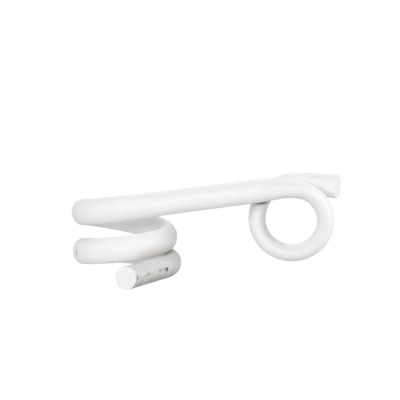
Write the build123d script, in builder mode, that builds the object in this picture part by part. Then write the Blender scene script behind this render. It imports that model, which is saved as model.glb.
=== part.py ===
from build123d import *
import os
from math import ceil, pi, sin

# Pigtail insulator for an electric fence: one solid white plastic rod, bent hot. A coil grips a
# round post, a straight arm stands off from it, and a closed eye at the arm's end holds the wire.
# The post's axis is Z, and the arm leaves the front of the coil (-Y) towards +X. From the arm, the
# coil runs down the post as a right-hand helix. The origin is half-way up the coil.
# Millimetres and degrees. "Turned" angles are counted along the rod, away from the arm.

# ---- the rod ----
rod_diameter = 8.5
bend_thinning = 0.915  # share of its section's area that the rod keeps in a bend
end_round = 0.3  # worn edge of the two sawn ends

# ---- the coil on the post ----
post_diameter = 25.4
coil_thickness = 7.0  # of the flattened rod, outwards from the post
grip_flat = 0.2  # depth of the flat that the post pressed into the coil's inside
coil_turned = 654.5  # from the arm to the stub
turn_gap = 0.4  # between two closed turns
first_turn_gap = 4.7  # extra height of the first turn, which opens behind the post
uncoil_radius = 23.3  # wider bend in which the coil opens towards the stub
uncoil_from = 600.0  # where that bend starts
close_up = 0.8  # how much less that bend drops, as its rod narrows and fits closer under the coil
coil_fade_on_arm = 23.5  # length of the arm that is still oval from the coil
coil_full_from = 3.0  # length of coil after which the oval is complete
coil_full_until = 27.0  # length of coil before the stub in which the oval fades

# ---- the stub, the coil's free end ----
stub_diameter = 8.1  # the rod is drawn a little thinner here
stub_length = 30.2
stub_rise = 0.65
stub_round_from = 4.0  # length of the stub that is still oval

# ---- the arm ----
arm_rise = 6.5
arm_lead_in = 7.1  # from the end of the straight arm to the top of the eye

# ---- the eye ----
eye_reach = 61.3  # from the post's axis to the eye's centre
eye_width = 18.1  # clear opening, side to side
eye_height = 17.6  # clear opening, top to bottom
eye_thickness = 6.3  # of the flattened rod, outwards from the eye's centre
eye_gap = 0.8  # between the arm and the rod's second pass behind it
eye_turned = 366.0  # from the top of the eye to the tip
eye_passed = 330.0  # where the rod is clear of the arm
closing_from = 270.0  # where the second pass starts to close over the eye
closing_lift = 1.3  # how much higher it is there
eye_fade_on_arm = 7.5
eye_full_from = 11.5
eye_full_until = 6.0

# ---- the tip, the eye's free end ----
tip_length = 16.6
tip_fall = 4.4
tip_forward = 15.0  # turned back towards the arm's side
tip_skew = 8.0  # the sawn face isn't quite square to the rod
tip_round_from = 8.0

rod_radius = rod_diameter / 2
stub_radius = stub_diameter / 2
section_spacing = 5.2  # of the oval sections along a bend, on average
end_crowding = 0.45  # how much closer they are at its ends, and wider apart in its middle
seam_turn = 30.0  # degrees that the first and last of them start further round the rod
station = 30  # degrees between the points that set out a bend's centre line


def ease(share):
    """Rise smoothly from 0 to 1 as share does, and stay there beyond."""
    share = min(max(share, 0), 1)
    return share**2 * (3 - 2 * share)


def oval_width(thickness):
    """Width, along the bend's axis, of a rod that the bend has flattened to a thickness."""
    return bend_thinning * rod_diameter**2 / thickness


# ---- centre line of the coil ----
coil_radius = post_diameter / 2 + coil_thickness / 2 - grip_flat
coil_pitch = oval_width(coil_thickness) + turn_gap


def coil_drop(turned):
    """Height lost from the arm to a place on the coil."""
    closing = close_up * ease((turned - uncoil_from) / (coil_turned - uncoil_from))
    return coil_pitch * turned / 360 + first_turn_gap * ease((turned - 90) / 180) - closing


def coil_point(turned):
    """Centre of the rod at a place on the coil."""
    outward = Vector(0, -1, 0).rotate(Axis.Z, -turned)
    centre = Vector(0, 0, coil_drop(coil_turned) / 2 - coil_drop(turned))
    if turned < uncoil_from:
        return centre + outward * coil_radius
    opening = Vector(0, -1, 0).rotate(Axis.Z, -uncoil_from)
    return centre + opening * (coil_radius - uncoil_radius) + outward * uncoil_radius


arm_start = coil_point(0)
arm_direction = Vector(1, 0, 0).rotate(Axis.Y, -arm_rise)
coil_end = coil_point(coil_turned)
stub_direction = Vector(-1, 0, 0).rotate(Axis.Y, stub_rise).rotate(Axis.Z, -coil_turned)
coil_stations = [coil_point(turned) for turned in range(0, int(coil_turned) - station // 2, station)]

# ---- centre line of the eye ----
arm_end = arm_start + arm_direction * ((eye_reach - arm_lead_in) / arm_direction.X)
eye_half_width = (eye_width + eye_thickness) / 2
eye_half_height = (eye_height + eye_thickness) / 2
eye_centre = Vector(eye_reach, arm_end.Y, arm_end.Z - eye_half_height)
eye_depth = oval_width(eye_thickness) + eye_gap


def eye_point(turned):
    """Centre of the rod at a place on the eye, clockwise from its top seen from the front."""
    lift = closing_lift if turned > closing_from else 0
    outward = Vector(0, 0, 1).rotate(Axis.Y, turned)
    return eye_centre + Vector(
        eye_half_width * outward.X,
        eye_depth * ease(turned / eye_passed),
        (eye_half_height + lift) * outward.Z,
    )


eye_end = eye_point(eye_turned)
tip_direction = Vector(1, 0, 0).rotate(Axis.Y, tip_fall).rotate(Axis.Z, -tip_forward)
eye_stations = [eye_point(turned) for turned in range(0, int(eye_turned) - station // 2, station)]

# ---- routes of the two bends, each with the oval part of its straights ----
arm_from_coil = arm_start + arm_direction * coil_fade_on_arm
arm_to_eye = arm_end - arm_direction * eye_fade_on_arm
stub_round_start = coil_end + stub_direction * stub_round_from
tip_round_start = eye_end + tip_direction * tip_round_from

with BuildLine() as coil_route:
    Line(arm_from_coil, arm_start)
    Spline(
        *coil_stations,
        coil_end,
        tangents=(-arm_direction, stub_direction),
        tangent_scalars=(1, 1),
    )
    Line(coil_end, stub_round_start)

with BuildLine() as eye_route:
    Line(arm_to_eye, arm_end)
    Spline(
        arm_end,
        *eye_stations,
        eye_end,
        tangents=(arm_direction, tip_direction),
        tangent_scalars=(1, 1),
    )
    Line(eye_end, tip_round_start)


def bend_sections(route, axis, thickness, fade_in, fade_out, end_radius):
    """Sections of the rod along a bend: round at both ends, flattened across the bend between."""
    path = route.wire()
    count = ceil(path.length / section_spacing)
    sections = []
    for index in range(count + 1):
        share = index / count
        along = path.length * (share - end_crowding * sin(2 * pi * share) / (2 * pi))
        oval = ease(along / fade_in) * ease((path.length - along) / fade_out)
        radius = rod_radius + (end_radius - rod_radius) * ease(1 - (path.length - along) / fade_out)
        across = radius + (thickness / 2 - radius) * oval
        wide = max(across, radius**2 * (1 - (1 - bend_thinning) * oval) / across)
        centre = path.position_at(along, PositionMode.LENGTH)
        forward = path.tangent_at(along, PositionMode.LENGTH)
        width_direction = axis - forward * axis.dot(forward)
        # the seam turns back where the rod is round, or a helix would twist it past a quarter turn
        seam = seam_turn * (1 - oval) * (1 if along < path.length / 2 else -1)
        width_direction = width_direction.rotate(Axis(centre, forward), seam)
        with BuildSketch(Plane(centre, x_dir=width_direction, z_dir=forward)) as section:
            Ellipse(wide, across)
        sections.append(section.sketch)
    return sections


with BuildPart() as pigtail_rod:
    # the straights, where the rod is round
    with BuildSketch(Plane(tip_round_start, z_dir=tip_direction)):
        Circle(rod_radius)
    extrude(amount=tip_length - tip_round_from + rod_radius)
    tip_end = eye_end + tip_direction * tip_length
    split(bisect_by=Plane(tip_end, z_dir=tip_direction.rotate(Axis.Z, -tip_skew)), keep=Keep.BOTTOM)
    fillet(faces().sort_by(Axis(eye_end, tip_direction))[-1].edges(), end_round)

    with BuildSketch(Plane(stub_round_start, z_dir=stub_direction)):
        Circle(stub_radius)
    stub = extrude(amount=stub_length - stub_round_from)
    fillet(stub.faces().sort_by(Axis(coil_end, stub_direction))[-1].edges(), end_round)

    with BuildSketch(Plane(arm_from_coil, z_dir=arm_direction)):
        Circle(rod_radius)
    extrude(amount=(arm_to_eye - arm_from_coil).length)

    # the two bends
    loft(bend_sections(coil_route, Vector(0, 0, 1), coil_thickness,
                       coil_fade_on_arm + coil_full_from, stub_round_from + coil_full_until,
                       stub_radius))
    loft(bend_sections(eye_route, Vector(0, 1, 0), eye_thickness,
                       eye_fade_on_arm + eye_full_from, tip_round_from + eye_full_until,
                       rod_radius))

    # the flat that the post leaves along the coil's inside
    post_height = coil_drop(coil_turned) + 2 * rod_diameter
    Cylinder(post_diameter / 2, post_height, rotation=(0, 0, 180), mode=Mode.SUBTRACT)

pigtail_rod.part.label = "pigtail_rod"

os.makedirs("parts", exist_ok=True)
export_step(pigtail_rod.part, "parts/pigtail_rod.step")
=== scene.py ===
from math import cos, radians, sin

import bmesh
import bpy
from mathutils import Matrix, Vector


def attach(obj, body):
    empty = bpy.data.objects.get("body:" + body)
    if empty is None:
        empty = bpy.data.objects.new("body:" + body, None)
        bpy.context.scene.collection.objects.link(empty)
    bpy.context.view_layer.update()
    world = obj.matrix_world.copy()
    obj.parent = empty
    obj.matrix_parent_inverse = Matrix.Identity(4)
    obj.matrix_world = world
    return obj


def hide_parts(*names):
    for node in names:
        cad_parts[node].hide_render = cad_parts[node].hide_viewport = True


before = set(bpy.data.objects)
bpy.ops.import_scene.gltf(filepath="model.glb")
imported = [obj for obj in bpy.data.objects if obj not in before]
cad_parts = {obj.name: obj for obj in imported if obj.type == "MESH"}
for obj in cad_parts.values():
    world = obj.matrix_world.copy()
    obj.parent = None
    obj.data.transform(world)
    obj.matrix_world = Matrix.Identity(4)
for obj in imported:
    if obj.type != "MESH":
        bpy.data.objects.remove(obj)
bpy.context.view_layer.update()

# Pigtail fence insulator: one white plastic rod, with a coil for the post, an arm and a closed eye.
# The post's axis is Z, and the arm leaves the front of the coil (-Y) towards +X.
MM = 0.001


def heading(turn, rise):
    """Direction that starts as +X, turned anticlockwise seen from above, then raised, in degrees."""
    turn, rise = radians(turn), radians(rise)
    return Vector((cos(turn) * cos(rise), sin(turn) * cos(rise), sin(rise)))


# ---- camera, in front of the coil and a little above it ----
LENS_MM = 108.0
SENSOR_MM = 36.0
NEAREST_SEEN = 0.01  # metres
FURTHEST_SEEN = 20.0  # metres
AIM = Vector((28.2, 0.0, 12.24)) * MM
CAMERA_DISTANCE = 447.0 * MM
CAMERA_ELEVATION = 4.9
CAMERA_ROLL = 0.99

# ---- lamps: degrees round to the camera's right, degrees up, metres off, metres wide, watts ----
LAMPS = {
    "flash": (0.0, 12.0, 0.55, 0.03, 0.45),
    "front_softbox": (-35.0, 15.0, 0.8, 0.4, 2.5),
    "side_softbox": (80.0, 10.0, 1.0, 0.6, 5.0),
    "back_softbox": (180.0, 45.0, 1.0, 0.6, 2.6),
    "low_softbox": (0.0, -50.0, 0.45, 0.4, 0.2),
}
STUDIO_LIGHT = 0.45
WHITE = (1.0, 1.0, 1.0, 1.0)

# ---- floor ----
FLOOR_DROP = 400.0 * MM
FLOOR_HALF_WIDTH = 4.0  # metres
FLOOR_LIFT = 0.80  # of its own light, so that it reads white to the camera and keeps its shadows

# ---- the rod, in millimetres ----
ROD_RADIUS = 4.25
STUB_RADIUS = 4.05
ARM_DIRECTION = heading(0.0, 6.5)
STUB_DIRECTION = heading(-114.5, 0.65)
TIP_DIRECTION = heading(-15.0, -4.4)
ARM_END = Vector((46.748, -16.0, 16.225))  # where the arm runs into the eye
STUB_END = Vector((2.36, -40.79, -10.56))
TIP_END = Vector((78.56, -8.99, 17.03))
STUB_STRAIGHT = 26.2  # from the sawn end to where the stub runs into the coil
TIP_STRAIGHT = 8.6  # from the sawn end to where the tip runs into the eye

# the two sawn faces, of which the tip's isn't quite square to the rod
TIP_FACE_DIRECTION = heading(-23.0, -4.4)
END_RADIUS = 4.6
FACE_DEPTH = 0.1
FACE_SQUARENESS = 0.999  # a facet of a sawn face points this nearly along it
FACE_LOOK_FROM = -0.28  # its matt look starts this far from the saw's plane
FACE_LOOK_FULL = -0.08
SAW_SCALE = 0.314 / 0.8  # a line every 0.8 mm, a little coarser than a hacksaw leaves, so that it shows

# where a straight runs into a bend: place, direction into the bend, and radius there
JOINS = (
    (ARM_END, ARM_DIRECTION, ROD_RADIUS),
    (TIP_END - TIP_DIRECTION * TIP_STRAIGHT, -TIP_DIRECTION, ROD_RADIUS),
    (STUB_END - STUB_DIRECTION * STUB_STRAIGHT, -STUB_DIRECTION, STUB_RADIUS),
)
JOIN_ROUND = 1.6  # the rod is quite round this far into the bend
JOIN_BLEND = 4.0  # and has its own section from here
JOIN_PROUD = 0.4  # the skin lies this near its radius
SAME_PLACE = 0.001  # vertices nearer than this are one

# ---- soil and marks, in millimetres ----
SOIL_FROM = 10.0  # the soiled film fades in from this far off the stub's axis
SOIL_FULL = 4.5
SHADE_UNDER_STUB_FROM = 1.0  # painted shade: the soil darkens from this height over the stub's axis, towards the bottom
SHADE_UNDER_STUB_FULL = -3.5
SPOT_CORE = 0.35  # share of a spot's half size that has its full tone
STUB_RAGGED = 0.45  # how far a mark's outline wanders
ROD_RAGGED = 0.3
PIT_SIDE = 4.0  # the pits lie this far to the right of the stub's axis
PIT_DEPTH = 1.5

# pits in the stub's side: how far behind the sawn end, how high, half length, half height, depth of tone
STUB_PITS = (
    (1.4, 0.1, 1.1, 1.1, 0.5),
    (3.9, -0.2, 2.6, 0.9, 0.09),
    (7.6, 0.0, 2.6, 0.65, 0.3),
    (10.0, 0.3, 1.5, 0.8, 0.45),
    (14.0, 0.3, 4.5, 1.0, 0.1),
    (18.8, 0.5, 2.2, 0.8, 0.4),
    (21.4, 0.4, 2.2, 0.6, 0.3),
    (24.0, 0.25, 1.5, 1.15, 1.0),
)
# marks on the clean rod: place, half size, depth of tone. The mark in the crease under the arm is painted
# shade with some dirt, and the stub's darker lower side is painted shade.
ROD_MARKS_AND_PAINTED_SHADE = {
    "speck_on_second_turn": ((-17.4, -8.8, -5.5), (1.0, 1.0, 1.0), 0.45),
    "speck_on_arm": ((10.1, -15.9, 15.2), (0.9, 0.9, 0.9), 0.5),
    # painted shade, with some dirt, where the eye's second pass runs behind the arm
    "painted_shade_and_dirt_in_crease_under_arm": ((50.2, -10.2, 12.4), (6.0, 3.2, 1.8), 0.9),
}


def linear(hex_colour):
    """sRGB hex to linear RGBA."""
    values = [int(hex_colour[i:i + 2], 16) / 255 for i in (1, 3, 5)]
    return [v / 12.92 if v <= 0.04045 else ((v + 0.055) / 1.055) ** 2.4 for v in values] + [1.0]


def add_node(tree, kind, links=None, settings=None):
    """Add a node, set its properties and sockets by name or number, and link its inputs."""
    node = tree.nodes.new(kind)
    for name, value in (settings or {}).items():
        if isinstance(name, str) and hasattr(node, name):
            setattr(node, name, value)
        else:
            node.inputs[name].default_value = value
    for socket, source in (links or {}).items():
        tree.links.new(source, node.inputs[socket])
    return node


def place_camera():
    """Put the camera in front of the insulator, turned a little about its own axis."""
    data = bpy.data.cameras.new("camera")
    data.lens = LENS_MM
    data.sensor_width = SENSOR_MM
    data.clip_start = NEAREST_SEEN
    data.clip_end = FURTHEST_SEEN
    camera = bpy.data.objects.new("camera", data)
    bpy.context.scene.collection.objects.link(camera)
    elevation, roll = radians(CAMERA_ELEVATION), radians(CAMERA_ROLL)
    away = Vector((0.0, -cos(elevation), sin(elevation)))
    camera.location = AIM + away * CAMERA_DISTANCE
    look = (-away).to_track_quat("-Z", "Y").to_matrix()
    right, up = look.col[0].copy(), look.col[1].copy()
    look.col[0] = right * cos(roll) - up * sin(roll)
    look.col[1] = right * sin(roll) + up * cos(roll)
    camera.rotation_euler = look.to_euler()
    bpy.context.scene.camera = camera


def place_lamps():
    """Small flash over the lens, and softboxes at the front left, the right, the back and below."""
    for name, (around, height, distance, width, power) in LAMPS.items():
        data = bpy.data.lights.new(name, "AREA")
        data.shape = "DISK"
        data.size = width
        data.energy = power
        lamp = bpy.data.objects.new(name, data)
        around, height = radians(around), radians(height)
        away = Vector((sin(around) * cos(height), -cos(around) * cos(height), sin(height)))
        lamp.location = AIM + away * distance
        lamp.rotation_euler = (-away).to_track_quat("-Z", "Y").to_euler()
        bpy.context.scene.collection.objects.link(lamp)


def seen_directly(tree):
    """1 for what the camera sees, also in gloss and through clear material, and 0 for light."""
    rays = add_node(tree, "ShaderNodeLightPath").outputs
    share = add_node(tree, "ShaderNodeMath",
                     {0: rays["Is Camera Ray"], 1: rays["Is Glossy Ray"]}, {"operation": "ADD"})
    return add_node(tree, "ShaderNodeMath",
                    {0: share.outputs[0], 1: rays["Is Transmission Ray"]},
                    {"operation": "ADD", "use_clamp": True}).outputs[0]


def light_studio():
    """Even studio light all round, behind it a white backdrop."""
    world = bpy.data.worlds.new("white_studio")
    bpy.context.scene.world = world
    world.use_nodes = True
    tree = world.node_tree
    tree.nodes.clear()
    around = add_node(tree, "ShaderNodeBackground", None, {"Color": WHITE, "Strength": STUDIO_LIGHT})
    backdrop = add_node(tree, "ShaderNodeBackground", None, {"Color": WHITE, "Strength": 1.0})
    mixed = add_node(tree, "ShaderNodeMixShader",
                     {0: seen_directly(tree), 1: around.outputs[0], 2: backdrop.outputs[0]})
    add_node(tree, "ShaderNodeOutputWorld", {"Surface": mixed.outputs[0]})


def white_paper():
    """Matt studio paper: no gloss, and white to the camera with the shadows kept."""
    material = bpy.data.materials.new("matt_white_paper")
    material.use_nodes = True
    tree = material.node_tree
    tree.nodes.clear()
    paper = add_node(tree, "ShaderNodeBsdfDiffuse", None, {"Color": linear("#c4c4c4")})
    lift = add_node(tree, "ShaderNodeMath", {0: seen_directly(tree)},
                    {"operation": "MULTIPLY", 1: FLOOR_LIFT})
    glow = add_node(tree, "ShaderNodeEmission", {"Strength": lift.outputs[0]}, {"Color": WHITE})
    both = add_node(tree, "ShaderNodeAddShader", {0: paper.outputs[0], 1: glow.outputs[0]})
    add_node(tree, "ShaderNodeOutputMaterial", {"Surface": both.outputs[0]})
    return material


def lay_floor():
    """Wide sheet of paper, well below the insulator, which hangs on its post."""
    sheet = bmesh.new()
    bmesh.ops.create_grid(sheet, x_segments=1, y_segments=1, size=FLOOR_HALF_WIDTH)
    bmesh.ops.translate(sheet, verts=sheet.verts, vec=(0.0, 0.0, -FLOOR_DROP))
    mesh = bpy.data.meshes.new("floor")
    sheet.to_mesh(mesh)
    sheet.free()
    mesh.materials.append(white_paper())
    floor = bpy.data.objects.new("floor", mesh)
    bpy.context.scene.collection.objects.link(floor)


def fading_spot(tree, surface, centre, half_size, tone):
    """Mask of a spot: its tone in its middle, fading to 0 at its half size."""
    scaled = add_node(tree, "ShaderNodeMapping", {"Vector": surface},
                      {"vector_type": "TEXTURE", "Location": centre, "Scale": half_size})
    away = add_node(tree, "ShaderNodeVectorMath", {0: scaled.outputs[0]}, {"operation": "LENGTH"})
    return add_node(tree, "ShaderNodeMapRange", {"Value": away.outputs["Value"]},
                    {"interpolation_type": "SMOOTHSTEP", "From Min": 1.0, "From Max": SPOT_CORE,
                     "To Max": tone}).outputs[0]


def sawn_face(tree, on_end):
    """Mask of a sawn end: past the saw's plane, and no further out than the rod."""
    along = add_node(tree, "ShaderNodeSeparateXYZ", {"Vector": on_end}).outputs["X"]
    past_saw = add_node(tree, "ShaderNodeMapRange", {"Value": along},
                        {"From Min": FACE_LOOK_FROM, "From Max": FACE_LOOK_FULL})
    across = add_node(tree, "ShaderNodeVectorMath", {0: on_end},
                      {"operation": "MULTIPLY", 1: (0.0, 1.0, 1.0)})
    radius = add_node(tree, "ShaderNodeVectorMath", {0: across.outputs[0]}, {"operation": "LENGTH"})
    within = add_node(tree, "ShaderNodeMath", {0: radius.outputs["Value"]},
                      {"operation": "LESS_THAN", 1: END_RADIUS})
    return add_node(tree, "ShaderNodeMath", {0: past_saw.outputs[0], 1: within.outputs[0]},
                    {"operation": "MULTIPLY"}).outputs[0]


def rod_plastic():
    """High-density polyethylene, assumed to be the plastic, extruded as a rod and bent hot.

    A milky white with a broad, waxy gloss: IOR 1.54, typical of it, and a roughness near 0.6, chosen
    for a dull, weathered skin. The skin has a fine grain and shallow ripples. The sawn ends are matter
    and slightly yellow, and the stub's side is soiled, with a row of small pits. Painted shade darkens
    the soil below the stub, and painted shade with some dirt darkens the crease under the arm.
    """
    material = bpy.data.materials.new("extruded_white_polyethylene")
    material.use_nodes = True
    tree = material.node_tree
    shader = tree.nodes["Principled BSDF"]
    shader.inputs["IOR"].default_value = 1.54

    # places in millimetres: on the rod, and from each sawn end with X along the rod
    place = add_node(tree, "ShaderNodeTexCoord").outputs["Object"]
    millimetres = {"vector_type": "TEXTURE", "Scale": (MM, MM, MM)}
    on_rod = add_node(tree, "ShaderNodeMapping", {"Vector": place}, millimetres).outputs[0]
    on_stub = add_node(tree, "ShaderNodeMapping", {"Vector": place}, {
        **millimetres, "Location": STUB_END * MM,
        "Rotation": STUB_DIRECTION.to_track_quat("X", "Z").to_euler()}).outputs[0]
    on_tip = add_node(tree, "ShaderNodeMapping", {"Vector": place}, {
        **millimetres, "Location": TIP_END * MM,
        "Rotation": TIP_FACE_DIRECTION.to_track_quat("X", "Z").to_euler()}).outputs[0]

    # grain of the skin, about 0.5 mm, and clouds in the plastic, about 3 mm
    grain = add_node(tree, "ShaderNodeTexNoise", {"Vector": on_rod},
                     {"Scale": 2.0, "Detail": 3.0, "Roughness": 0.6}).outputs[0]
    clouds = add_node(tree, "ShaderNodeTexNoise", {"Vector": on_rod},
                      {"Scale": 0.33, "Detail": 4.0, "Roughness": 0.6}).outputs[0]

    # sawn ends
    stub_face = sawn_face(tree, on_stub)
    tip_face = sawn_face(tree, on_tip)
    sawn = add_node(tree, "ShaderNodeMath", {0: stub_face, 1: tip_face},
                    {"operation": "MAXIMUM"}).outputs[0]

    # soiled film along the stub and the turn above it, thinner in patches
    across_stub = add_node(tree, "ShaderNodeVectorMath", {0: on_stub},
                           {"operation": "MULTIPLY", 1: (0.0, 1.0, 1.0)})
    from_axis = add_node(tree, "ShaderNodeVectorMath", {0: across_stub.outputs[0]},
                         {"operation": "LENGTH"})
    near_stub = add_node(tree, "ShaderNodeMapRange", {"Value": from_axis.outputs["Value"]},
                         {"interpolation_type": "SMOOTHSTEP", "From Min": SOIL_FROM, "From Max": SOIL_FULL})
    patches = add_node(tree, "ShaderNodeMapRange", {"Value": clouds},
                       {"From Min": 0.3, "From Max": 0.6, "To Min": 0.72, "To Max": 1.0})
    film = add_node(tree, "ShaderNodeMath", {0: near_stub.outputs[0], 1: patches.outputs[0]},
                    {"operation": "MULTIPLY"})
    soil = add_node(tree, "ShaderNodeMath", {0: film.outputs[0], 1: sawn},
                    {"operation": "SUBTRACT", "use_clamp": True}).outputs[0]

    # painted shade: the film is darker under the stub, towards the bottom
    height = add_node(tree, "ShaderNodeSeparateXYZ", {"Vector": on_stub}).outputs["Z"]
    painted_shade_under_stub = add_node(tree, "ShaderNodeMapRange", {"Value": height},
                         {"interpolation_type": "SMOOTHSTEP",
                          "From Min": SHADE_UNDER_STUB_FROM, "From Max": SHADE_UNDER_STUB_FULL})

    # pits and marks, with ragged outlines, painted shade with some dirt in the crease under the arm, and a
    # sprinkle of faint dirt in the skin's finest pits
    ragged = add_node(tree, "ShaderNodeTexNoise", {"Vector": on_rod},
                      {"Scale": 1.4, "Detail": 2.0, "normalize": False}).outputs["Color"]
    ragged_stub = add_node(tree, "ShaderNodeVectorMath", {0: ragged, 2: on_stub},
                           {"operation": "MULTIPLY_ADD", 1: (STUB_RAGGED,) * 3}).outputs[0]
    ragged_rod = add_node(tree, "ShaderNodeVectorMath", {0: ragged, 2: on_rod},
                          {"operation": "MULTIPLY_ADD", 1: (ROD_RAGGED,) * 3}).outputs[0]
    marks = [fading_spot(tree, ragged_stub, (-behind, PIT_SIDE, high),
                         (half_length, PIT_DEPTH, half_height), tone)
             for behind, high, half_length, half_height, tone in STUB_PITS]
    marks += [fading_spot(tree, ragged_rod, *mark) for mark in ROD_MARKS_AND_PAINTED_SHADE.values()]
    dust = add_node(tree, "ShaderNodeTexNoise", {"Vector": on_rod}, {"Scale": 1.1, "Detail": 1.0}).outputs[0]
    marks.append(add_node(tree, "ShaderNodeMapRange", {"Value": dust},
                          {"From Min": 0.66, "From Max": 0.74, "To Max": 0.07}).outputs[0])
    pits_marks_and_painted_shade = marks[0]
    for mark in marks[1:]:
        pits_marks_and_painted_shade = add_node(tree, "ShaderNodeMath", {0: pits_marks_and_painted_shade, 1: mark},
                          {"operation": "MAXIMUM"}).outputs[0]

    # colour
    milky = add_node(tree, "ShaderNodeMix", {0: clouds},
                     {"data_type": "RGBA", 6: linear("#f4f4f4"), 7: linear("#ececec")})
    grained = add_node(tree, "ShaderNodeMix", {0: grain, 6: milky.outputs[2]},
                       {"data_type": "RGBA", 7: linear("#f0f0f0")})
    fresh_cut = add_node(tree, "ShaderNodeMix", {0: clouds},
                         {"data_type": "RGBA", 6: linear("#f3f2f0"), 7: linear("#ebeae7")})
    clean = add_node(tree, "ShaderNodeMix",
                     {0: sawn, 6: grained.outputs[2], 7: fresh_cut.outputs[2]}, {"data_type": "RGBA"})
    # the soil's own colour, darkened below the stub with painted shade
    soil_and_painted_shade = add_node(tree, "ShaderNodeMix", {0: painted_shade_under_stub.outputs[0]},
                     {"data_type": "RGBA", 6: linear("#d6d4d1"), 7: linear("#8b8987")})
    soiled = add_node(tree, "ShaderNodeMix",
                      {0: soil, 6: clean.outputs[2], 7: soil_and_painted_shade.outputs[2]}, {"data_type": "RGBA"})
    # the pits, the marks and the painted shade in the crease darken the colour
    colour = add_node(tree, "ShaderNodeMix", {0: pits_marks_and_painted_shade, 6: soiled.outputs[2]},
                      {"data_type": "RGBA", 7: linear("#3c3a38")})
    tree.links.new(colour.outputs[2], shader.inputs["Base Color"])

    # roughness: waxy skin, matter where it is sawn or soiled
    skin = add_node(tree, "ShaderNodeMapRange", {"Value": clouds}, {"To Min": 0.58, "To Max": 0.66})
    matt = add_node(tree, "ShaderNodeMath", {0: sawn, 1: soil}, {"operation": "MAXIMUM"})
    roughness = add_node(tree, "ShaderNodeMapRange", {"Value": matt.outputs[0], "To Min": skin.outputs[0]},
                         {"To Max": 0.72})
    tree.links.new(roughness.outputs[0], shader.inputs["Roughness"])

    # relief: ripples, grain, the saw's lines and the pits
    ripples = add_node(tree, "ShaderNodeBump", {"Height": clouds},
                       {"Strength": 0.5, "Distance": 0.12 * MM})
    skin_grain = add_node(tree, "ShaderNodeBump", {"Height": grain, "Normal": ripples.outputs[0]},
                          {"Strength": 0.4, "Distance": 0.03 * MM})
    lines = add_node(tree, "ShaderNodeTexWave", {"Vector": on_rod},
                     {"bands_direction": "Z", "Scale": SAW_SCALE, "Distortion": 2.0, "Detail": 2.0})
    saw_lines = add_node(tree, "ShaderNodeMath", {0: lines.outputs[1], 1: sawn},
                         {"operation": "MULTIPLY"})
    saw_relief = add_node(tree, "ShaderNodeBump",
                          {"Height": saw_lines.outputs[0], "Normal": skin_grain.outputs[0]},
                          {"Strength": 0.6, "Distance": 0.06 * MM})
    pit_relief = add_node(tree, "ShaderNodeBump", {"Height": pits_marks_and_painted_shade, "Normal": saw_relief.outputs[0]},
                          {"Strength": 0.8, "Distance": 0.4 * MM, "invert": True})
    tree.links.new(pit_relief.outputs[0], shader.inputs["Normal"])
    return material


def dress_joins(body):
    """Bring the skin flush where each straight runs into a bend."""
    for place, into_bend, radius in JOINS:
        for vertex in body.verts:
            offset = vertex.co / MM - place
            along = offset.dot(into_bend)
            across = offset - into_bend * along
            if 0.0 < along < JOIN_BLEND and abs(across.length - radius) < JOIN_PROUD:
                share = min((JOIN_BLEND - along) / (JOIN_BLEND - JOIN_ROUND), 1.0)
                share = share * share * (3.0 - 2.0 * share)
                vertex.co += across * (radius / across.length - 1.0) * share * MM


def shade_rod(body):
    """Shade the rod smooth, but for the two flat sawn faces."""
    for face in body.faces:
        middle = face.calc_center_median() / MM
        face.smooth = not any(
            direction.dot(middle - end) > -FACE_DEPTH and direction.dot(face.normal) > FACE_SQUARENESS
            and (middle - end).length < END_RADIUS
            for end, direction in ((STUB_END, STUB_DIRECTION), (TIP_END, TIP_FACE_DIRECTION)))


def white_rod():
    """The insulator's one rod, from the coil's stub to the eye's tip."""
    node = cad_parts["pigtail_rod"]
    body = bmesh.new()
    body.from_mesh(node.data)
    bmesh.ops.remove_doubles(body, verts=body.verts, dist=SAME_PLACE * MM)
    dress_joins(body)
    body.normal_update()
    shade_rod(body)
    mesh = bpy.data.meshes.new("white_rod")
    body.to_mesh(mesh)
    body.free()
    # the copied normals don't fit the dressed joins
    if "custom_normal" in mesh.attributes:
        mesh.attributes.remove(mesh.attributes["custom_normal"])
    mesh.materials.clear()
    mesh.materials.append(rod_plastic())
    rod = bpy.data.objects.new("white_rod", mesh)
    bpy.context.scene.collection.objects.link(rod)
    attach(rod, "root")
    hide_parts("pigtail_rod")


place_camera()
white_rod()
place_lamps()
light_studio()
lay_floor()
bpy.context.scene.view_settings.view_transform = "Standard"
